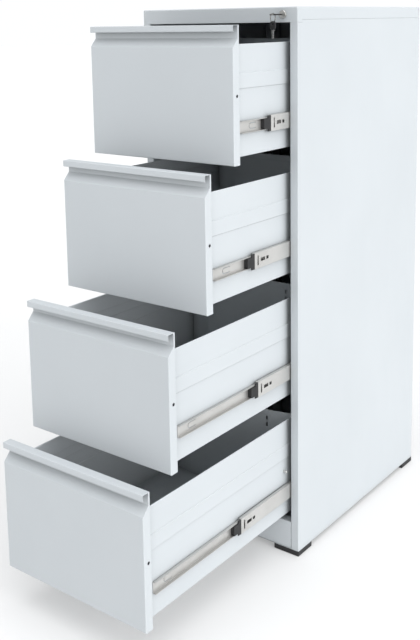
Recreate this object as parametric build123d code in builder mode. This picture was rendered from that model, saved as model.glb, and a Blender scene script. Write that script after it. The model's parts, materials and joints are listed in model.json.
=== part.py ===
from build123d import *
from math import cos, hypot, radians, sin
import os

# Four-drawer vertical filing cabinet, folded from sheet steel, on telescopic slides.
# Units are millimetres. X runs across the cabinet, Y from the front to the back, and Z up from
# the floor. The model stands as it is shown, with each drawer pulled out by its own opening, and
# the origin is on the floor under the middle of the whole assembly.

os.makedirs("parts", exist_ok=True)

# Carcase
cabinet_width = 455.0
cabinet_depth = 625.0
cabinet_height = 1320.0
sheet = 0.9  # steel of the carcase
bend_radius = 1.6  # middle line of a fold in the carcase
post_width = 21.5  # visible front face of each side panel
post_return = 35.0  # how far the post folds back into the cabinet
rear_return = 20.0
fascia_height = 34.5
fascia_return = 12.0
side_lip = 28.5  # lip of the top cap over the side panels
cap_radius = 3.0
cap_wrap = 18.0  # how far the fascia runs round the front corners
lip_seam = 0.3  # gap under the lips of the top cap
tongue_depth = 12.0  # overlap of the side panel behind the lip
rear_notch = 8.0  # the side lip stops short of the back by this much
plinth_height = 70.5
plinth_return = 25.0
plinth_lip = 9.0
cut_margin = 1.0  # cutting shapes reach this far past what they cut

# Feet
foot_height = 14.0
foot_width = 71.0
foot_length = 62.0
foot_chamfer = 1.5
spigot_radius = 6.0
spigot_height = 6.0
spigot_fit = 0.1
spigot_gap = 2.0  # between a spigot and the lower return of the plinth

# Uprights that carry the slides
upright_face = 40.0
upright_foot = 11.0
front_upright = 59.0  # front edge of the upright, behind the cabinet's front
rear_upright_inset = 80.0  # front edge of the rear upright, from the back
upright_slot_width = 5.0
upright_slot_length = 16.0
upright_slot_offset = 35.0  # above and below the middle of a slide

# Drawer fronts
drawer_count = 4
drawer_gap = 5.0
top_gap = 3.0
bottom_gap = 3.0
side_gap = 2.0
drawer_sheet = 0.8
front_depth = 21.0
front_bend = 1.4
lip_height = 14.0
lip_hem = 3.0
finger_gap = 13.5  # height of the opening under the lip
slope_height = 19.0  # rise of the slope from the face into the finger recess
recess_depth = 17.0
flange_hole_radius = 3.6
flange_hole_depth = 13.0  # behind the face
flange_hole_height = 147.0
liner_flange = 2.8

# Drawer trays
slide_space = 13.0  # width kept free for a slide between tray and upright
tray_rise = 15.0  # tray bottom above the bottom of the front
tray_drop = 40.0  # tray top below the top of the front
tray_bend = 1.2
rear_space = 40.0  # between the closed tray and the back of the cabinet
side_hem_width = 3.6
side_hem_height = 37.0
rib_height = 31.0
rib_rise = 147.0  # bottom of the rib above the tray bottom
rib_depth = 1.6
back_flange = 12.0
back_crown = 13.0  # how far the middle of the tray back stands forward
back_flat = 128.0  # half width of that middle
back_hem = 14.0
slot_width = 5.0
slot_length = 10.0
slot_spread = 118.0
slot_drop = 22.0  # upper slot below the top of the tray back
slot_pitch = 17.0

# Slides
slide_rise = 79.0  # middle of the slide above the bottom of the front
slide_steel = 1.2
slide_bend = 1.3
ball_diameter = 3.6
inner_height = 26.4
inner_reach = 8.4
middle_reach = 8.0
outer_reach = 11.6
outer_lip = 3.2
web_gap = 0.6
inner_setback = 35.0  # front end of the drawer member behind the face
middle_setback = 40.0
outer_setback = 42.0
slide_tail = 1.0  # the slides end this far before the rear edge of the rear upright
over_travel = 18.0  # the drawers run further than their slides are long
lance_length = 30.0
lance_width = 14.0
lance_cut = 2.0
lance_setback = 33.0  # from the front end of the drawer member
screw_slot_length = 12.0
screw_slot_width = 5.0
latch_slot_length = 5.0
latch_slot_height = 22.0
latch_slot_setback = 40.0  # from the front end of the middle member
window_length = 18.0
window_height = 8.0
window_setback = 59.0  # from either end of the middle member
spring_window_length = 9.0
spring_window_height = 7.0
spring_window_setback = 77.0  # from the front end of the middle member
stop_length = 27.0
stop_plate_length = 11.0
stop_plate_thickness = 2.4
stop_fit = 0.5
stop_radius = 2.0

# Opening of each drawer as a share of its travel, and of its middle members as a share of that
opening_shares = [0.382, 0.565, 0.791, 0.948]
middle_shares = [0.66, 0.66, 0.45, 0.51]

# Lock
lock_offset = 18.0  # lock axis from the right edge of the opening
lock_drop = 17.0  # lock axis below the top
bezel_rim = 1.3  # bezel beyond the barrel
bezel_height = 3.0
bezel_round = 1.2
barrel_radius = 8.2
barrel_length = 24.0
nut_thickness = 4.0
nut_rim = 3.4  # corners of the nut beyond the barrel
plug_radius = 5.6
plug_proud = 0.8
plug_tail = 2.0  # plug behind the barrel
running_fit = 0.05
rod_radius = 3.0
crank_radius = 14.0
crank_angle = 45.0
crank_thickness = 3.0
crank_width = 8.0
pin_radius = 2.0
pin_play = 0.8
bar_thickness = 1.5
bar_width = 18.0
bar_clear = 0.3
bar_gap = 3.0  # between the bar and the plane of the edge of the opening
bar_foot = 60.0  # bottom of the bar above the floor
tab_height = 10.0
tab_margin = 5.0
finger_height = 12.0
finger_overlap = 5.0
stud_radius = 3.0
stud_length = 9.0
stud_rise = 115.0  # above the tray bottom
stud_play = 3.5
stud_chamfer = 0.8
guide_height = 16.0
guide_wall = 3.0
guide_gap = 1.0  # between the guides and the rear upright
guide_rise = 60.0  # lowest guide above the bottom of the bar
guide_drop = 80.0  # highest guide below the top of the bar
hanger_width = 16.0
hanger_thickness = 3.0
hanger_margin = 8.0  # below the rod
hanger_gap = 23.5  # between the hanger and the crank

# Keys
key_thickness = 2.0
key_reach = 42.0
bow_radius = 13.0
bow_hole_radius = 4.0
bow_hole_rim = 2.5
shank_width = 8.0
blade_width = 7.0
blade_length = 20.0
key_fit = 0.3
ring_radius = 10.0
ring_wire = 0.8  # half the thickness of its wire
ring_play = 0.3

# Places that follow from the sizes above
half_width = cabinet_width / 2
rear_upright = cabinet_depth - rear_upright_inset
slide_length = rear_upright + upright_face - slide_tail - outer_setback
drawer_travel = slide_length + over_travel
openings = [share * drawer_travel for share in opening_shares]
front_y = (max(openings) - cabinet_depth) / 2
back_y = front_y + cabinet_depth
floor_z = foot_height + sheet  # upper face of the base panel
fascia_z = cabinet_height - fascia_height
seam_z = cabinet_height - side_lip
inner_top = cabinet_height - sheet - cap_radius  # what stands inside the cap ends below its rounded edge
plinth_z = foot_height + plinth_height
opening_half = half_width - post_width
front_half = opening_half - side_gap
opening_height = fascia_z - plinth_z
front_height = (opening_height - top_gap - bottom_gap - (drawer_count - 1) * drawer_gap) / drawer_count
drawer_pitch = front_height + drawer_gap
face_height = front_height - lip_height - finger_gap - slope_height
tray_half = opening_half - slide_space
tray_top = front_height - tray_drop
tray_end = cabinet_depth - rear_space
lock_x = opening_half - lock_offset
lock_z = cabinet_height - lock_drop
middle_height = inner_height + 2 * (ball_diameter + slide_steel)
outer_height = middle_height + 2 * (ball_diameter + slide_steel)


def drawer_bottom(number):
    """Height of the bottom of a drawer front, counted from 1 at the top."""
    return plinth_z + bottom_gap + (drawer_count - number) * drawer_pitch


def facing_front(depth):
    """Plane across the cabinet at a depth behind its front; its local axes are X and Z."""
    return Plane.XZ.offset(-(front_y + depth))


def folded(plane, points, bend, thickness):
    """Section of folded sheet whose middle line runs through the points; a bend of 0 is a sharp fold."""
    with BuildSketch(plane) as section:
        with BuildLine():
            if bend:
                FilletPolyline(*points, radius=bend)
            else:
                Polyline(*points)
        trace(line_width=thickness)
    return section.sketch


def rectangle(plane, low, high):
    """Rectangle between two corners, given in the plane's own axes."""
    with BuildSketch(plane) as section:
        with Locations(((low[0] + high[0]) / 2, (low[1] + high[1]) / 2)):
            Rectangle(high[0] - low[0], high[1] - low[1])
    return section.sketch


def save(piece, name):
    piece.part.label = name
    export_step(piece.part, f"parts/{name}.step")


# Side panels
def side_panel_plan():
    """Plan of the right side panel: front post, side and rear return."""
    middle = half_width - sheet / 2
    inner = opening_half + sheet / 2
    front = front_y + sheet / 2
    rear = back_y - sheet / 2
    return [
        (inner, front_y + post_return),
        (inner, front),
        (middle, front),
        (middle, rear),
        (half_width - rear_return, rear),
    ]


with BuildPart() as right_side_panel:
    section = folded(Plane.XY.offset(floor_z), side_panel_plan(), bend_radius, sheet)
    extrude(section, amount=seam_z - lip_seam - floor_z)
    under_fascia = Plane.XY.offset(fascia_z - lip_seam)
    corner = rectangle(
        under_fascia,
        (opening_half - cut_margin, front_y - cut_margin),
        (half_width + cut_margin, front_y + cap_wrap + lip_seam),
    )
    extrude(corner, amount=fascia_height, mode=Mode.SUBTRACT)
    post = rectangle(
        under_fascia,
        (opening_half - cut_margin, front_y),
        (half_width - 2 * sheet, front_y + post_return + cut_margin),
    )
    extrude(post, amount=fascia_height, mode=Mode.SUBTRACT)
    tongue_ends = (front_y + cap_wrap + bend_radius, back_y - rear_return)
    tongue = rectangle(
        Plane.XY.offset(seam_z - tongue_depth),
        (half_width - 2 * sheet, tongue_ends[0]),
        (half_width - sheet, tongue_ends[1]),
    )
    extrude(tongue, amount=inner_top - seam_z + tongue_depth)
save(right_side_panel, "right_side_panel")

with BuildPart() as left_side_panel:
    mirror(right_side_panel.part, about=Plane.YZ)
save(left_side_panel, "left_side_panel")

# Top cap
with BuildPart() as top_cap:
    block = rectangle(Plane.XY.offset(fascia_z), (-half_width, front_y), (half_width, back_y))
    extrude(block, amount=fascia_height)
    fillet(top_cap.edges().filter_by(Axis.Z), cap_radius)
    fillet(top_cap.faces().sort_by(Axis.Z)[-1].edges(), cap_radius)
    offset(amount=-sheet, openings=top_cap.faces().sort_by(Axis.Z)[0])
    below_lips = rectangle(
        Plane.XY.offset(fascia_z),
        (-half_width - cut_margin, front_y + cap_wrap),
        (half_width + cut_margin, back_y + cut_margin),
    )
    extrude(below_lips, amount=seam_z - fascia_z, mode=Mode.SUBTRACT)
    for side in (-1, 1):
        with BuildSketch(Plane.XY.offset(seam_z)):
            with Locations((side * half_width, back_y)):
                Rectangle(2 * (cap_radius + cut_margin), 2 * rear_notch)
        extrude(amount=inner_top - seam_z, mode=Mode.SUBTRACT)
    fascia_fold = rectangle(
        Plane.YZ.offset(-half_width + cap_radius),
        (front_y + sheet, fascia_z),
        (front_y + fascia_return, fascia_z + sheet),
    )
    extrude(fascia_fold, amount=cabinet_width - 2 * cap_radius)
    with BuildSketch(facing_front(0)):
        with Locations((lock_x, lock_z)):
            Circle(barrel_radius + running_fit)
    extrude(amount=-2 * sheet, mode=Mode.SUBTRACT)
save(top_cap, "top_cap")

# Back panel
back_half = half_width - sheet - bend_radius
with BuildPart() as back_panel:
    face = rectangle(facing_front(cabinet_depth - sheet), (-back_half, floor_z), (back_half, inner_top))
    extrude(face, amount=sheet)
save(back_panel, "back_panel")

# Base panel
foot_places = [
    (side * (half_width - foot_width / 2), depth)
    for side in (-1, 1)
    for depth in (front_y + foot_length / 2, back_y - foot_length / 2)
]
with BuildPart() as base_panel:
    with BuildSketch(Plane.XY.offset(foot_height)):
        with Locations((0, front_y + cabinet_depth / 2)):
            RectangleRounded(cabinet_width, cabinet_depth, bend_radius + sheet / 2)
        with Locations(*foot_places):
            Circle(spigot_radius + spigot_fit, mode=Mode.SUBTRACT)
    extrude(amount=sheet)
save(base_panel, "base_panel")

# Plinth rail between the posts
plinth_points = [
    (front_y + plinth_return, plinth_z - plinth_lip),
    (front_y + plinth_return, plinth_z - sheet / 2),
    (front_y + sheet / 2, plinth_z - sheet / 2),
    (front_y + sheet / 2, floor_z + sheet / 2),
    (front_y + foot_length / 2 - spigot_radius - spigot_gap, floor_z + sheet / 2),
]
with BuildPart() as plinth:
    section = folded(Plane.YZ.offset(-opening_half), plinth_points, bend_radius, sheet)
    extrude(section, amount=2 * opening_half)
save(plinth, "plinth")

# Feet
foot_names = ["foot_front_left", "foot_rear_left", "foot_front_right", "foot_rear_right"]
for name, place in zip(foot_names, foot_places):
    with BuildPart() as foot:
        with BuildSketch():
            with Locations(place):
                Rectangle(foot_width, foot_length)
        extrude(amount=foot_height)
        chamfer(foot.edges().filter_by(Axis.Z), foot_chamfer)
        chamfer(foot.faces().sort_by(Axis.Z)[0].edges(), foot_chamfer)
        with BuildSketch(Plane.XY.offset(foot_height)):
            with Locations(place):
                Circle(spigot_radius)
        extrude(amount=spigot_height)
    save(foot, name)


# Uprights
def upright_points(depth):
    """Plan of a right upright: a foot on the side panel, the face that carries the slides, a foot."""
    near = front_y + depth
    wall = half_width - 1.5 * sheet
    web = opening_half + sheet / 2
    return [
        (wall, near - upright_foot),
        (wall, near + sheet / 2),
        (web, near + sheet / 2),
        (web, near + upright_face - sheet / 2),
        (wall, near + upright_face - sheet / 2),
        (wall, near + upright_face + upright_foot),
    ]


upright_top = seam_z - tongue_depth
upright_slots = [
    drawer_bottom(number) + slide_rise + side * upright_slot_offset
    for number in range(1, drawer_count + 1)
    for side in (-1, 1)
]
for name, depth in (("front", front_upright), ("rear", rear_upright)):
    with BuildPart() as right_upright:
        section = folded(Plane.XY.offset(floor_z), upright_points(depth), 0, sheet)
        extrude(section, amount=upright_top - floor_z)
        with BuildSketch(Plane.YZ.offset(opening_half - cut_margin)):
            with Locations(*[(front_y + depth + upright_face / 2, height) for height in upright_slots]):
                Rectangle(upright_slot_width, upright_slot_length)
        extrude(amount=sheet + 2 * cut_margin, mode=Mode.SUBTRACT)
    save(right_upright, f"{name}_right_upright")
    with BuildPart() as left_upright:
        mirror(right_upright.part, about=Plane.YZ)
    save(left_upright, f"{name}_left_upright")

# Drawer front, drawn closed and at floor level: a pan with a sloped finger recess, open at both ends,
# under a J-shaped lip
recess_y = front_y + recess_depth
front_rear = front_y + front_depth
with BuildPart() as front:
    with BuildSketch(Plane.YZ.offset(-front_half)):
        with BuildLine():
            Polyline(
                (front_rear, 0),
                (front_y, 0),
                (front_y, face_height),
                (recess_y, face_height + slope_height),
                (recess_y, front_height),
                (front_rear, front_height),
                close=True,
            )
        make_face()
    extrude(amount=2 * front_half)
    upright_edges = front.edges().filter_by(Axis.Z).group_by(Axis.Y)[0]
    bottom_edge = front.edges().filter_by(Axis.X).group_by(Axis.Z)[0].sort_by(Axis.Y)[0]
    fillet([*upright_edges, bottom_edge], front_bend + drawer_sheet / 2)
    offset(amount=-drawer_sheet, openings=front.faces().sort_by(Axis.Y)[-1])
    lip_points = [
        (recess_y + drawer_sheet / 2, front_height - drawer_sheet / 2),
        (front_y + drawer_sheet / 2, front_height - drawer_sheet / 2),
        (front_y + drawer_sheet / 2, front_height - lip_height + drawer_sheet / 2),
        (front_y + lip_hem, front_height - lip_height + drawer_sheet / 2),
    ]
    section = folded(Plane.YZ.offset(-front_half), lip_points, front_bend, drawer_sheet)
    extrude(section, amount=2 * front_half)
    with BuildSketch(Plane.YZ.offset(-half_width)):
        with Locations((front_y + flange_hole_depth, flange_hole_height)):
            Circle(flange_hole_radius)
    extrude(amount=cabinet_width, mode=Mode.SUBTRACT)

# Liner that closes the front from behind
liner_low = 1.5 * drawer_sheet
liner_points = [
    (front_rear - liner_flange, liner_low),
    (front_rear - drawer_sheet / 2, liner_low),
    (front_rear - drawer_sheet / 2, front_height - liner_low),
    (front_rear - liner_flange, front_height - liner_low),
]
with BuildPart() as liner:
    section = folded(Plane.YZ.offset(drawer_sheet - front_half), liner_points, 0, drawer_sheet)
    extrude(section, amount=2 * (front_half - drawer_sheet))

# Tray: two sides and the bottom from one sheet, with a stiffening rib and a folded top edge
wall_x = tray_half - drawer_sheet / 2
leaf_x = wall_x - side_hem_width + drawer_sheet
rib_bottom = tray_rise + rib_rise
right_wall = [
    (wall_x, tray_rise + drawer_sheet / 2),
    (wall_x, rib_bottom - rib_depth),
    (wall_x + rib_depth, rib_bottom),
    (wall_x + rib_depth, rib_bottom + rib_height),
    (wall_x, rib_bottom + rib_height + rib_depth),
    (wall_x, tray_top - drawer_sheet / 2),
    (leaf_x, tray_top - drawer_sheet / 2),
    (leaf_x, tray_top - side_hem_height),
]
left_wall = [(-x, z) for x, z in reversed(right_wall)]
left_bends = [tray_bend, tray_bend, 0, 0, 0, 0, tray_bend]
with BuildPart() as tray:
    bends = left_bends + left_bends[::-1]
    section = folded(facing_front(tray_end), left_wall + right_wall, bends, drawer_sheet)
    extrude(section, amount=tray_end - front_depth)

# Back of the tray, pressed forward in its middle, with a folded top edge
tray_floor = tray_rise + drawer_sheet
back_x = leaf_x - drawer_sheet
back_end = front_y + tray_end
right_back = [
    (back_flat, back_end - back_flange - back_crown),
    (back_x, back_end - back_flange),
    (back_x, back_end),
]
left_back = [(-x, y) for x, y in reversed(right_back)]
with BuildPart() as tray_back:
    section = folded(Plane.XY.offset(tray_floor), left_back + right_back, tray_bend, drawer_sheet)
    extrude(section, amount=tray_top - tray_floor)
    back_face = back_end - back_flange - back_crown - drawer_sheet / 2
    hem = rectangle(
        Plane.XY.offset(tray_top - back_hem),
        (-back_flat, back_face - drawer_sheet),
        (back_flat, back_face),
    )
    extrude(hem, amount=back_hem)
    with BuildSketch(facing_front(tray_end)):
        with Locations((0, tray_top - slot_drop - slot_pitch / 2)):
            with GridLocations(2 * slot_spread, slot_pitch, 2, 2):
                Rectangle(slot_width, slot_length)
    extrude(amount=2 * (back_flange + back_crown), mode=Mode.SUBTRACT)


# Telescopic slides: three rolled channels, one inside the other
def channel(web, reach, height, lip=0.0):
    """Middle line of a channel section. The reach is signed, from the outer face of the web."""
    side = 1 if reach > 0 else -1
    web_x = web + side * slide_steel / 2
    rim = (height - slide_steel) / 2
    end_x = web + reach
    points = [(end_x, rim), (web_x, rim), (web_x, -rim), (end_x, -rim)]
    if lip:
        turn_x = end_x - side * slide_steel / 2
        lip_end = rim + slide_steel / 2 - lip
        points = [(turn_x, lip_end), (turn_x, rim), *points[1:3], (turn_x, -rim), (turn_x, -lip_end)]
    return [(x, z + slide_rise) for x, z in points]


def slide_section(setback, length, points, bend=0):
    return folded(facing_front(setback + length), points, bend, slide_steel)


def web_place(depth):
    """Place on the middle line of a slide's web, at a depth behind the cabinet's front."""
    return Locations((front_y + depth, slide_rise))


middle_web = opening_half - slide_steel - web_gap
with BuildPart() as outer_slides:
    points = channel(opening_half, -outer_reach, outer_height, outer_lip)
    extrude(slide_section(outer_setback, slide_length, points), amount=slide_length)
    with BuildSketch(Plane.YZ.offset(opening_half - 2 * slide_steel)):
        for upright in (front_upright, rear_upright):
            with web_place(upright + upright_face / 2):
                Rectangle(screw_slot_length, screw_slot_width)
    extrude(amount=3 * slide_steel, mode=Mode.SUBTRACT)
    mirror(about=Plane.YZ)

with BuildPart() as middle_slides:
    points = channel(middle_web, -middle_reach, middle_height)
    steel_length = slide_length - stop_length
    extrude(slide_section(middle_setback + stop_length, steel_length, points), amount=steel_length)
    with BuildSketch(Plane.YZ.offset(middle_web - 2 * slide_steel)):
        with web_place(middle_setback + latch_slot_setback):
            Rectangle(latch_slot_length, latch_slot_height)
        with web_place(middle_setback + window_setback):
            Rectangle(window_length, window_height)
        with web_place(middle_setback + spring_window_setback):
            Rectangle(spring_window_length, spring_window_height)
        with web_place(middle_setback + slide_length - window_setback):
            Rectangle(window_length, window_height)
    extrude(amount=3 * slide_steel, mode=Mode.SUBTRACT)
    mirror(about=Plane.YZ)

with BuildPart() as inner_slides:
    points = channel(tray_half, inner_reach, inner_height)
    extrude(slide_section(inner_setback, slide_length, points, slide_bend), amount=slide_length)
    lance_middle = inner_setback + lance_setback + lance_length / 2
    with BuildSketch(Plane.YZ.offset(tray_half)):
        with web_place(lance_middle):
            SlotOverall(lance_length, lance_width)
    extrude(amount=slide_steel, mode=Mode.SUBTRACT)
    with BuildSketch(Plane.YZ.offset(tray_half)):
        with web_place(lance_middle + lance_cut):
            SlotOverall(lance_length, lance_width - 2 * lance_cut)
    extrude(amount=slide_steel)
    mirror(about=Plane.YZ)

with BuildPart() as slide_stops:
    stop_front = front_y + middle_setback
    stop_rear = stop_front + stop_length
    channel_face = tray_half + slide_steel + stop_fit
    body_half = inner_height / 2 - slide_steel - stop_fit
    body = rectangle(
        Plane.YZ.offset(channel_face),
        (stop_front, slide_rise - body_half),
        (stop_rear, slide_rise + body_half),
    )
    extrude(body, amount=middle_web - channel_face)
    fillet(slide_stops.edges().filter_by(Axis.X).group_by(Axis.Y)[0], stop_radius)
    plate_half = middle_height / 2 - stop_fit
    plate = rectangle(
        Plane.YZ.offset(middle_web - stop_plate_thickness),
        (stop_rear - stop_plate_length, slide_rise - plate_half),
        (stop_rear, slide_rise + plate_half),
    )
    extrude(plate, amount=stop_plate_thickness)
    mirror(about=Plane.YZ)

# Catch stud for the lock bar, on the right side of the tray
bar_depth = rear_upright - upright_foot - guide_gap - guide_wall - bar_width
stud_depth = bar_depth + bar_thickness + stud_play + stud_radius
with BuildPart() as lock_stud:
    with BuildSketch(Plane.YZ.offset(tray_half)):
        with Locations((front_y + stud_depth, tray_rise + stud_rise)):
            Circle(stud_radius)
    extrude(amount=stud_length)
    chamfer(lock_stud.faces().sort_by(Axis.X)[-1].edges(), stud_chamfer)

# The drawers, each at its own height and opening
for number in range(1, drawer_count + 1):
    opening = openings[number - 1]
    middle_run = middle_shares[number - 1] * opening
    pieces = [
        ("front", front, opening),
        ("liner", liner, opening),
        ("tray", tray, opening),
        ("back", tray_back, opening),
        ("inner_slides", inner_slides, opening),
        ("lock_stud", lock_stud, opening),
        ("middle_slides", middle_slides, middle_run),
        ("slide_stops", slide_stops, middle_run),
        ("outer_slides", outer_slides, 0),
    ]
    for kind, pattern, run in pieces:
        with BuildPart() as piece:
            with Locations((0, -run, drawer_bottom(number))):
                add(pattern.part)
        save(piece, f"drawer_{number}_{kind}")

# Lock housing, its nut and the plug; the lock stands unlocked, with the key slot level
def lock_plane(depth):
    """Plane across the lock's axis, at a depth behind the cabinet's front."""
    return Plane(origin=(lock_x, front_y + depth, lock_z), x_dir=(1, 0, 0), z_dir=(0, -1, 0))


with BuildPart() as lock_housing:
    with BuildSketch(lock_plane(0)):
        Circle(barrel_radius + bezel_rim)
    extrude(amount=bezel_height)
    chamfer(lock_housing.faces().sort_by(Axis.Y)[0].edges(), bezel_round)
    with BuildSketch(lock_plane(barrel_length)):
        Circle(barrel_radius)
    extrude(amount=barrel_length)
    with BuildSketch(lock_plane(barrel_length)):
        Circle(plug_radius + running_fit)
    extrude(amount=barrel_length + bezel_height, mode=Mode.SUBTRACT)
save(lock_housing, "lock_housing")

with BuildPart() as lock_nut:
    with BuildSketch(lock_plane(sheet + nut_thickness)):
        RegularPolygon(barrel_radius + nut_rim, 6)
        Circle(barrel_radius, mode=Mode.SUBTRACT)
    extrude(amount=nut_thickness)
save(lock_nut, "lock_nut")

plug_front = -(bezel_height + plug_proud)
plug_rear = barrel_length + plug_tail
with BuildPart() as lock_plug:
    with BuildSketch(lock_plane(plug_rear)):
        Circle(plug_radius)
    extrude(amount=plug_rear - plug_front)
    with BuildSketch(lock_plane(plug_front)):
        Rectangle(blade_width + 2 * key_fit, key_thickness + 2 * key_fit)
    extrude(amount=-(blade_length + 2 * key_fit + cut_margin), mode=Mode.SUBTRACT)
save(lock_plug, "lock_plug")

# Rod from the plug to the rear, with the crank that drives the lock bar
tab_front = bar_depth + bar_width - bar_thickness
crank_rear = tab_front - pin_radius
pin_end = bar_depth + bar_width + pin_radius
pin_x = crank_radius * cos(radians(crank_angle))
pin_z = crank_radius * sin(radians(crank_angle))
with BuildPart() as lock_rod:
    with BuildSketch(lock_plane(crank_rear)):
        Circle(rod_radius)
    extrude(amount=crank_rear - plug_rear)
    with BuildSketch(lock_plane(crank_rear)):
        with Locations((pin_x / 2, pin_z / 2)):
            SlotCenterToCenter(crank_radius, crank_width, rotation=crank_angle)
    extrude(amount=crank_thickness)
    with BuildSketch(lock_plane(pin_end)):
        with Locations((pin_x, pin_z)):
            Circle(pin_radius)
    extrude(amount=pin_end - crank_rear)
save(lock_rod, "lock_rod")

# Lock bar: a strip with one finger per drawer and a slotted tab at its top
bar_drop = 2 * pin_z
bar_x = opening_half + bar_gap
bar_top = lock_z + pin_z + tab_height / 2
bar_front = front_y + bar_depth
finger_x = tray_half + stud_length - finger_overlap
with BuildPart() as lock_bar:
    strip = rectangle(Plane.YZ.offset(bar_x), (bar_front, bar_foot), (bar_front + bar_width, bar_top))
    extrude(strip, amount=bar_thickness)
    for number in range(1, drawer_count + 1):
        finger_z = drawer_bottom(number) + tray_rise + stud_rise + bar_drop
        finger = rectangle(
            facing_front(bar_depth + bar_thickness),
            (finger_x, finger_z - finger_height / 2),
            (bar_x, finger_z + finger_height / 2),
        )
        extrude(finger, amount=bar_thickness)
    tab = rectangle(
        facing_front(bar_depth + bar_width),
        (lock_x + pin_x - pin_radius - tab_margin, bar_top - tab_height),
        (bar_x, bar_top),
    )
    extrude(tab, amount=bar_thickness)
    with BuildSketch(facing_front(bar_depth + bar_width)):
        with Locations((lock_x + (crank_radius + pin_x) / 2, lock_z + pin_z)):
            slot_height = 2 * (pin_radius + pin_play)
            SlotOverall(crank_radius - pin_x + slot_height, slot_height)
    extrude(amount=bar_thickness, mode=Mode.SUBTRACT)
save(lock_bar, "lock_bar")

# Guides for the lock bar on the side panel, and the hanger for the end of the rod
guide_x = bar_x - guide_gap
guide_middle = (bar_foot + bar_top) / 2
guide_levels = [bar_foot + guide_rise, guide_middle, bar_top - guide_drop]
with BuildPart() as lock_guides:
    for level in guide_levels:
        block = rectangle(
            Plane.XY.offset(level),
            (guide_x, bar_front - guide_wall),
            (half_width - sheet, bar_front + bar_width + guide_wall),
        )
        extrude(block, amount=guide_height)
        bar_way = rectangle(
            Plane.XY.offset(level),
            (bar_x - bar_clear, bar_front - bar_clear),
            (bar_x + bar_thickness + bar_clear, bar_front + bar_width + bar_clear),
        )
        extrude(bar_way, amount=guide_height, mode=Mode.SUBTRACT)
    hanger_depth = crank_rear - crank_thickness - hanger_gap
    with BuildSketch(facing_front(hanger_depth)):
        with Locations((lock_x, (lock_z - hanger_margin + cabinet_height - sheet) / 2)):
            Rectangle(hanger_width, cabinet_height - sheet - lock_z + hanger_margin)
        with Locations((lock_x, lock_z)):
            Circle(rod_radius + running_fit, mode=Mode.SUBTRACT)
    extrude(amount=hanger_thickness)
save(lock_guides, "lock_guides")

# Key in the lock
key_plane = Plane(origin=(lock_x, front_y, lock_z - key_thickness / 2), x_dir=(1, 0, 0), z_dir=(0, 0, 1))
shoulder = plug_front - key_fit
bow_middle = bow_radius - key_reach
with BuildPart() as key:
    with BuildSketch(key_plane):
        with Locations((0, bow_middle)):
            Circle(bow_radius)
        with Locations((0, (shoulder + bow_middle) / 2)):
            Rectangle(shank_width, shoulder - bow_middle)
        with Locations((0, shoulder + blade_length / 2)):
            Rectangle(blade_width, blade_length)
        with Locations((0, bow_hole_radius + bow_hole_rim - key_reach)):
            Circle(bow_hole_radius, mode=Mode.SUBTRACT)
    extrude(amount=key_thickness)
save(key, "key")

# Ring through the hole of the key
ring_y = front_y - key_reach + bow_hole_rim / 2
rim_reach = hypot(bow_hole_rim / 2, key_thickness / 2)
ring_z = lock_z + rim_reach + ring_play + ring_wire - ring_radius
with BuildPart() as key_ring:
    with BuildSketch(Plane((lock_x, ring_y, ring_z))):
        with Locations((0, ring_radius)):
            Rectangle(2 * ring_wire, 2 * ring_wire)
    revolve(axis=Axis((lock_x, ring_y, ring_z), (1, 0, 0)))
save(key_ring, "key_ring")
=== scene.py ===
"""Looks of a filing cabinet: finishes for its parts, rivets, a key cover and the spare key."""

import json
import math

import bpy
from mathutils import Matrix, Vector


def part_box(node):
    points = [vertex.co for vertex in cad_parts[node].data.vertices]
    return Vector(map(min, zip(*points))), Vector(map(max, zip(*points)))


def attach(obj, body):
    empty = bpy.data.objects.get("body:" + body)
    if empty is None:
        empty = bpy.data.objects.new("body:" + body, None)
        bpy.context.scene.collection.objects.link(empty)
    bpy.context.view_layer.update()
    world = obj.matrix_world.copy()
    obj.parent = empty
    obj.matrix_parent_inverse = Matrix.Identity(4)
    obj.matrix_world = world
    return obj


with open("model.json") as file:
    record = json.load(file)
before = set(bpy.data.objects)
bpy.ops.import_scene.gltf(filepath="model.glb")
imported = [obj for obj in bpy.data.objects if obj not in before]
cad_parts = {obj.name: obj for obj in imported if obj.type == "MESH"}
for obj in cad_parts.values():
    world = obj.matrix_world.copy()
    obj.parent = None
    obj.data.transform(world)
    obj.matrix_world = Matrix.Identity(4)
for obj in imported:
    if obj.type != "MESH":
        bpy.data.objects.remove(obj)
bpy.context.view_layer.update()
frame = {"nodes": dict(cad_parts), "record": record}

RANGE_SOCKETS = ("From Min", "From Max", "To Min", "To Max")
FIRST_COLOUR, SECOND_COLOUR, COLOUR_RESULT = 6, 7, 2  # sockets of a Mix node that mixes colours


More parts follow.
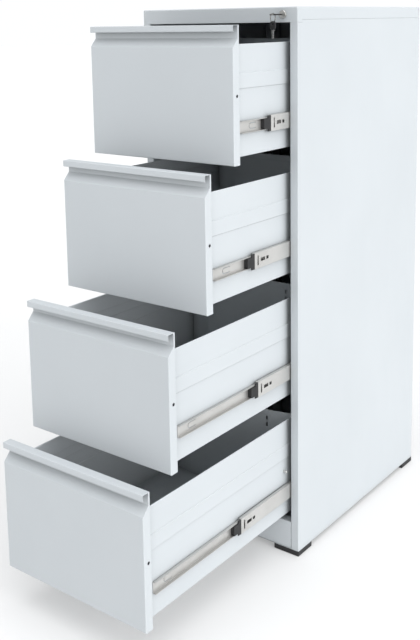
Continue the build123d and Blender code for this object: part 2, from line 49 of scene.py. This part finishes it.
# Node helpers
class Shader:
    """A material with its Principled BSDF, and short ways to add nodes."""

    def __init__(self, name):
        self.material = bpy.data.materials.new(name)
        self.material.use_nodes = True
        self.tree = self.material.node_tree
        self.surface = self.tree.nodes["Principled BSDF"]

    def add(self, kind, **settings):
        node = self.tree.nodes.new(kind)
        for key, value in settings.items():
            setattr(node, key, value)
        return node

    def link(self, start, end):
        self.tree.links.new(start, end)

    def place(self, stretch):
        """Object coordinates in metres, stretched along each axis."""
        coordinates = self.add("ShaderNodeTexCoord")
        mapping = self.add("ShaderNodeMapping")
        mapping.inputs["Scale"].default_value = stretch
        self.link(coordinates.outputs["Object"], mapping.inputs["Vector"])
        return mapping.outputs["Vector"]

    def noise(self, scale, detail=2.0, roughness=0.5, stretch=(1, 1, 1)):
        node = self.add("ShaderNodeTexNoise")
        node.inputs["Scale"].default_value = scale
        node.inputs["Detail"].default_value = detail
        node.inputs["Roughness"].default_value = roughness
        self.link(self.place(stretch), node.inputs["Vector"])
        return node.outputs["Fac"]

    def spread(self, value, low, high, start=0.0, end=1.0):
        """Maps low..high of a value to start..end."""
        node = self.add("ShaderNodeMapRange")
        for key, number in zip(RANGE_SOCKETS, (low, high, start, end)):
            node.inputs[key].default_value = number
        self.link(value, node.inputs["Value"])
        return node.outputs["Result"]

    def blend(self, factor, first, second):
        """Mixes two colours, or a socket and a colour."""
        node = self.add("ShaderNodeMix", data_type="RGBA")
        self.link(factor, node.inputs["Factor"])
        for index, value in ((FIRST_COLOUR, first), (SECOND_COLOUR, second)):
            if isinstance(value, bpy.types.NodeSocket):
                self.link(value, node.inputs[index])
            else:
                node.inputs[index].default_value = (*value, 1)
        return node.outputs[COLOUR_RESULT]

    def compute(self, operation, first, second):
        """Applies an operation to two numbers, each a socket or a value."""
        node = self.add("ShaderNodeMath", operation=operation)
        for socket, value in zip(node.inputs, (first, second)):
            if isinstance(value, bpy.types.NodeSocket):
                self.link(value, socket)
            else:
                socket.default_value = value
        return node.outputs["Value"]

    def soft_edges(self, radius):
        """Normal with rounded edges."""
        node = self.add("ShaderNodeBevel", samples=6)
        node.inputs["Radius"].default_value = radius
        return node.outputs["Normal"]

    def edge_mask(self, normal, sharpness=6.0):
        """White where the rounded normal leaves the true one, which is on the edges."""
        geometry = self.add("ShaderNodeNewGeometry")
        dot = self.add("ShaderNodeVectorMath", operation="DOT_PRODUCT")
        self.link(normal, dot.inputs[0])
        self.link(geometry.outputs["Normal"], dot.inputs[1])
        lost = self.compute("SUBTRACT", 1.0, dot.outputs["Value"])
        return self.compute("MINIMUM", self.compute("MULTIPLY", lost, sharpness), 1.0)

    def openness(self, distance):
        """1 on open faces, less where other faces stand closer than the distance."""
        node = self.add("ShaderNodeAmbientOcclusion", samples=4)
        node.inputs["Distance"].default_value = distance
        return node.outputs["AO"]

    def bump(self, height, strength, distance, normal):
        node = self.add("ShaderNodeBump")
        node.inputs["Strength"].default_value = strength
        node.inputs["Distance"].default_value = distance
        self.link(height, node.inputs["Height"])
        self.link(normal, node.inputs["Normal"])
        return node.outputs["Normal"]

    def set(self, **values):
        """Sets sockets of the shader that are the same all over."""
        for key, value in values.items():
            self.surface.inputs[key.replace("_", " ")].default_value = value

    def drive(self, **sockets):
        """Links nodes to sockets of the shader."""
        for key, socket in sockets.items():
            self.link(socket, self.surface.inputs[key.replace("_", " ")])


# Finishes
def powder_coat(name):
    """Satin powder coat: orange peel, faint mottling, smears, worn edges, painted shade in the
    creases and recesses.
    """
    tone, shade = (0.468, 0.495, 0.514), (0.453, 0.48, 0.499)
    # the second tone is the dark grey of the painted shade in creases and recesses
    worn_tone, painted_shade_tone = (0.78, 0.8, 0.82), (0.2, 0.215, 0.22)
    paint = Shader(name)
    rounded = paint.soft_edges(radius=0.0009)
    mottle = paint.spread(paint.noise(scale=3.5, detail=4.0), 0.35, 0.65)
    chips = paint.spread(paint.noise(scale=55.0, detail=6.0, roughness=0.7), 0.56, 0.7)
    worn = paint.compute("MULTIPLY", paint.edge_mask(rounded), chips)
    # painted shade: ambient occlusion darkens creases and recesses towards a dark grey
    painted_crease_shade = paint.spread(paint.openness(distance=0.03), 0.25, 0.9, start=0.7, end=0.0)
    smears = paint.noise(scale=9.0, detail=3.0, roughness=0.6, stretch=(1, 1, 0.35))
    peel = paint.noise(scale=420.0)
    colour = paint.blend(mottle, shade, tone)
    colour = paint.blend(worn, colour, worn_tone)
    paint.set(IOR=1.44)
    paint.drive(
        Base_Color=paint.blend(painted_crease_shade, colour, painted_shade_tone),
        Roughness=paint.spread(smears, 0.3, 0.7, start=0.44, end=0.56),
        Normal=paint.bump(peel, strength=0.12, distance=0.00025, normal=rounded),
    )
    return paint.material


def zinc_plate(name):
    """Bright zinc on rolled strip: fine rolling lines, slight tints, grease and painted shade
    darkening the tracks and creases.
    """
    # the third tone is the dark grey of grease and painted shade
    tone, tint_tone, grease_and_shade_tone = (0.5, 0.495, 0.48), (0.57, 0.565, 0.55), (0.16, 0.155, 0.145)
    zinc = Shader(name)
    rounded = zinc.soft_edges(radius=0.0009)
    lines = zinc.noise(scale=60.0, detail=4.0, roughness=0.6, stretch=(14, 0.25, 14))
    tint = zinc.spread(zinc.noise(scale=14.0, detail=3.0), 0.3, 0.7)
    # grease and painted shade: ambient occlusion darkens tracks and creases towards a dark grey
    grease_and_painted_shade = zinc.spread(zinc.openness(distance=0.009), 0.35, 0.95, start=0.25, end=0.0)
    colour = zinc.blend(tint, tone, tint_tone)
    zinc.set(Metallic=0.7)
    zinc.drive(
        Base_Color=zinc.blend(grease_and_painted_shade, colour, grease_and_shade_tone),
        Roughness=zinc.spread(lines, 0.3, 0.7, start=0.3, end=0.46),
        Normal=zinc.bump(lines, strength=0.25, distance=0.0001, normal=rounded),
    )
    return zinc.material


def moulded_black(name):
    """Black moulded plastic with a fine grain and scuffed edges."""
    tone, scuff_tone = (0.005, 0.005, 0.006), (0.02, 0.02, 0.022)
    plastic = Shader(name)
    rounded = plastic.soft_edges(radius=0.0006)
    grain = plastic.noise(scale=900.0)
    wear = plastic.noise(scale=130.0, detail=4.0)
    scuffs = plastic.compute("MULTIPLY", plastic.edge_mask(rounded, sharpness=1.0), wear)
    sheen = plastic.noise(scale=35.0, detail=3.0)
    plastic.drive(
        Base_Color=plastic.blend(scuffs, tone, scuff_tone),
        Roughness=plastic.spread(sheen, 0.3, 0.7, start=0.42, end=0.6),
        Normal=plastic.bump(grain, strength=0.2, distance=0.0001, normal=rounded),
    )
    return plastic.material


def nickel_plate(name):
    """Polished nickel with hairline scratches from use."""
    tone, bloom_tone = (0.36, 0.355, 0.34), (0.46, 0.455, 0.44)
    nickel = Shader(name)
    rounded = nickel.soft_edges(radius=0.0003)
    hairs = nickel.noise(scale=240.0, detail=5.0, roughness=0.7, stretch=(1, 1, 9))
    bloom = nickel.spread(nickel.noise(scale=90.0), 0.3, 0.7)
    nickel.set(Metallic=1.0)
    nickel.drive(
        Base_Color=nickel.blend(bloom, tone, bloom_tone),
        Roughness=nickel.spread(hairs, 0.35, 0.75, start=0.2, end=0.36),
        Normal=nickel.bump(hairs, strength=0.1, distance=0.00005, normal=rounded),
    )
    return nickel.material


finishes = {
    "grey_paint": powder_coat,
    "zinc_steel": zinc_plate,
    "black_plastic": moulded_black,
    "nickel_plate": nickel_plate,
}
materials = {slot: finish(slot) for slot, finish in finishes.items()}
for part in frame["record"]["subparts"]:
    surfaces = frame["nodes"][part["node"]].data.materials
    surfaces.clear()
    surfaces.append(materials[part["material_slot"]])


# Small pieces
def finish_piece(name, mesh, place, body, slot):
    """Puts a mesh in place, on the body that carries it, in the finish of a slot."""
    piece = bpy.data.objects.new(name, mesh)
    bpy.context.scene.collection.objects.link(piece)
    mesh.materials.append(materials[slot])
    piece.matrix_world = place
    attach(piece, body)


def plate(name, loops, thickness, rounding):
    """Mesh of a flat piece with rounded rims, from its outline and the outlines of its holes."""
    curve = bpy.data.curves.new(name, "CURVE")
    curve.dimensions = "2D"
    curve.fill_mode = "BOTH"
    curve.extrude = thickness / 2 - rounding
    curve.bevel_depth = rounding
    curve.bevel_resolution = 3
    curve.offset = -rounding
    for loop in loops:
        spline = curve.splines.new("POLY")
        spline.points.add(len(loop) - 1)
        for point, (x, y) in zip(spline.points, loop):
            point.co = (x, y, 0, 1)
        spline.use_cyclic_u = True
    holder = bpy.data.objects.new(name, curve)
    mesh = bpy.data.meshes.new_from_object(holder)
    bpy.data.objects.remove(holder)
    mesh.name = name
    mesh.shade_smooth()
    return mesh


def arc(middle, radius, first, last, count):
    """Points on an arc from one angle to another."""
    turns = [first + (last - first) * step / count for step in range(count + 1)]
    return [(middle[0] + radius * math.cos(t), middle[1] + radius * math.sin(t)) for t in turns]


def circle(middle, radius, count=40):
    return arc(middle, radius, 0, math.tau, count)[:-1]


def rounded_box(half_width, low, high, corner):
    """Outline of a box with rounded corners."""
    inner = half_width - corner
    middles = (
        (inner, high - corner),
        (-inner, high - corner),
        (-inner, low + corner),
        (inner, low + corner),
    )
    quarter = math.pi / 2
    loop = []
    for turn, middle in enumerate(middles):
        loop += arc(middle, corner, quarter * turn, quarter * (turn + 1), count=8)
    return loop


def key_cover():
    """Cover over the bow of the key in the lock, with a neck and with a notch for the ring."""
    low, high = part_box("key")
    wall = 0.0007
    hole_radius = 0.0043
    hole_inset = 0.0065  # middle of the hole, from the end of the bow
    half_notch = 0.0028
    half_neck, neck_length = 0.006, 0.004
    steps = 24
    bow = (high.x - low.x) / 2
    radius = bow + wall
    neck_end = radius + neck_length
    upward, downward = math.pi / 2, 1.5 * math.pi
    neck_turn = math.asin(half_neck / radius)
    notch_turn = math.asin(half_notch / radius)
    hole_turn = math.asin(half_notch / hole_radius)
    hole = (0, hole_inset - bow)
    outline = arc((0, 0), radius, upward + neck_turn, downward - notch_turn, steps)
    outline += arc(hole, hole_radius, downward - hole_turn, hole_turn - upward, steps)
    outline += arc((0, 0), radius, downward + notch_turn, upward + math.tau - neck_turn, steps)
    outline += [(half_neck, neck_end), (-half_neck, neck_end)]
    mesh = plate("key_cover", [outline], thickness=0.0032, rounding=0.0008)
    place = Matrix.Translation(((low.x + high.x) / 2, low.y + bow, (low.z + high.z) / 2))
    finish_piece("key_cover", mesh, place, "key", "black_plastic")


def spare_key():
    """Second key, which hangs on the ring with its hole round the wire."""
    low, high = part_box("key_ring")
    wire = high.x - low.x
    hole_radius, hole_rim = 0.003, 0.0022
    cover_top, cover_foot = hole_radius + hole_rim, -0.0145
    hang = ((low.x + high.x) / 2, (low.y + high.y) / 2, low.z + wire - hole_radius)
    upright = Matrix(((1, 0, 0), (0, 0, -1), (0, 1, 0))).to_4x4()
    place = Matrix.Translation(hang) @ upright
    outline = rounded_box(half_width=0.0073, low=cover_foot, high=cover_top, corner=0.005)
    hole = circle((0, 0), hole_radius)
    cover = plate("spare_key_cover", [outline, hole], thickness=0.0036, rounding=0.0009)
    finish_piece("spare_key_cover", cover, place, "key_ring", "black_plastic")

    cut_side, back_side = 0.0034, -0.0032
    root = cover_foot + 0.002
    shoulder = cover_foot - 0.0025
    tip = cover_foot - 0.0195
    back_bevel_width, back_bevel_height = 0.002, 0.0015
    cut_bevel_width, cut_bevel_height = 0.0022, 0.002
    cut_pitch, cut_length = 0.0024, 0.001
    cut_depths = (0.0006, 0.0016, 0.0009, 0.002, 0.0012, 0.0017)
    outline = [
        (back_side, root),
        (back_side, tip + back_bevel_height),
        (back_side + back_bevel_width, tip),
        (cut_side - cut_bevel_width, tip),
    ]
    for step, depth in enumerate(cut_depths):
        foot = tip + cut_bevel_height + cut_pitch * step
        outline += [(cut_side - depth, foot), (cut_side - depth, foot + cut_length)]
    outline += [(cut_side, shoulder), (cut_side, root)]
    blade = plate("spare_key_blade", [outline], thickness=0.0018, rounding=0.0002)
    finish_piece("spare_key_blade", blade, place, "key_ring", "nickel_plate")


def lathe(name, profile, places, count=24):
    """Mesh of one turned shape at several places, along Y; its profile runs from rim to middle."""
    turns = [math.tau * step / count for step in range(count)]
    corners, faces = [], []
    for x, y, z in places:
        first = len(corners)
        for radius, rise in profile:
            for turn in turns:
                corners.append((x + radius * math.cos(turn), y + rise, z + radius * math.sin(turn)))
        for ring in range(len(profile) - 1):
            for step in range(count):
                here = first + ring * count + step
                beside = first + ring * count + (step + 1) % count
                faces.append((here, here + count, beside + count, beside))
        middle = first + (len(profile) - 1) * count
        faces.append(tuple(middle + step for step in reversed(range(count))))
    mesh = bpy.data.meshes.new(name)
    mesh.from_pydata(corners, [], faces)
    mesh.shade_smooth()
    return mesh


def back_rivets():
    """Blind rivets on the rear returns of the side panels, each with the dimple of its stem."""
    low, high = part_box("right_side_panel")
    profile = (  # radius and rise
        (0.0032, 0.0),
        (0.0031, 0.0004),
        (0.0022, 0.0009),
        (0.0013, 0.001),
        (0.0011, 0.0004),
        (0.0006, 0.0003),
    )
    inset, end_space, count = 0.01, 0.05, 6
    pitch = (high.z - low.z - 2 * end_space) / (count - 1)
    levels = [low.z + end_space + step * pitch for step in range(count)]
    places = [(side * (high.x - inset), high.y, level) for side in (-1, 1) for level in levels]
    rivets = lathe("back_rivets", profile, places)
    finish_piece("back_rivets", rivets, Matrix(), "cabinet", "zinc_steel")


key_cover()
spare_key()
back_rivets()


# Floor, light and camera
def floor():
    """Wide pale floor that glows a little, which keeps the shadows light."""
    plane = bpy.data.meshes.new("floor")
    reach = 40.0
    corners = [(-reach, -reach, 0), (reach, -reach, 0), (reach, reach, 0), (-reach, reach, 0)]
    plane.from_pydata(corners, [], [(0, 1, 2, 3)])
    piece = bpy.data.objects.new("floor", plane)
    bpy.context.scene.collection.objects.link(piece)
    pale = Shader("pale_floor")
    pale.set(Roughness=0.8, Emission_Color=(1, 1, 1, 1), Emission_Strength=0.27)
    mottle = pale.noise(scale=1.5)
    pale.drive(Base_Color=pale.blend(mottle, (0.5, 0.5, 0.5), (0.52, 0.52, 0.52)))
    plane.materials.append(pale.material)


def sun(name, travel, strength, spread, colour):
    """A large soft light, far away, whose rays run along a direction."""
    lamp = bpy.data.lights.new(name, "SUN")
    lamp.energy = strength
    lamp.angle = math.radians(spread)
    lamp.color = colour
    piece = bpy.data.objects.new(name, lamp)
    piece.rotation_euler = Vector(travel).to_track_quat("-Z", "Y").to_euler()
    bpy.context.scene.collection.objects.link(piece)


def studio():
    """White round the horizon and greyer overhead; soft lights from the right, front and top."""
    horizon_height, overhead_height = 0.08, 0.4  # as the sine of the angle above the horizon
    horizon_strength, overhead_strength = 1.03, 0.62
    white, cool_white = (1.0, 1.0, 1.0), (0.98, 0.99, 1.0)
    world = bpy.data.worlds.new("studio")
    world.use_nodes = True
    tree = world.node_tree
    coordinates = tree.nodes.new("ShaderNodeTexCoord")
    parts = tree.nodes.new("ShaderNodeSeparateXYZ")
    fade = tree.nodes.new("ShaderNodeMapRange")
    fade_range = (horizon_height, overhead_height, horizon_strength, overhead_strength)
    for key, number in zip(RANGE_SOCKETS, fade_range):
        fade.inputs[key].default_value = number
    background = tree.nodes["Background"]
    background.inputs["Color"].default_value = (0.97, 0.985, 1.0, 1)
    tree.links.new(coordinates.outputs["Generated"], parts.inputs["Vector"])
    tree.links.new(parts.outputs["Z"], fade.inputs["Value"])
    tree.links.new(fade.outputs["Result"], background.inputs["Strength"])
    bpy.context.scene.world = world
    sun("side_light", (-0.96, 0.1, -0.25), strength=2.05, spread=45, colour=white)
    sun("front_light", (-0.55, 0.76, -0.33), strength=0.85, spread=60, colour=white)
    sun("top_light", (-0.15, 0.1, -0.98), strength=2.0, spread=60, colour=cool_white)
    bpy.context.scene.view_settings.view_transform = "Standard"


def camera():
    """Camera at the photograph's viewing angle."""
    azimuth, elevation, roll = (math.radians(value) for value in (37.48, 9.0, -0.91))
    eye = (1.353, -1.844, 1.291)
    image_height = 640  # in pixels, as are the next two
    focal_length = 940.3
    axis_row = 170
    level = math.cos(elevation)
    back = Vector((math.sin(azimuth) * level, -math.cos(azimuth) * level, math.sin(elevation)))
    right = (-back).cross(Vector((0, 0, 1))).normalized()
    up = right.cross(-back)
    turned_right = right * math.cos(roll) + up * math.sin(roll)
    turned_up = up * math.cos(roll) - right * math.sin(roll)
    facing = Matrix((turned_right, turned_up, back)).transposed().to_4x4()
    lens = bpy.data.cameras.new("camera")
    lens.sensor_width = 36.0
    lens.lens = focal_length / image_height * lens.sensor_width
    lens.shift_y = (axis_row - image_height / 2) / image_height
    piece = bpy.data.objects.new("camera", lens)
    piece.matrix_world = Matrix.Translation(eye) @ facing
    bpy.context.scene.collection.objects.link(piece)
    bpy.context.scene.camera = piece


floor()
studio()
camera()
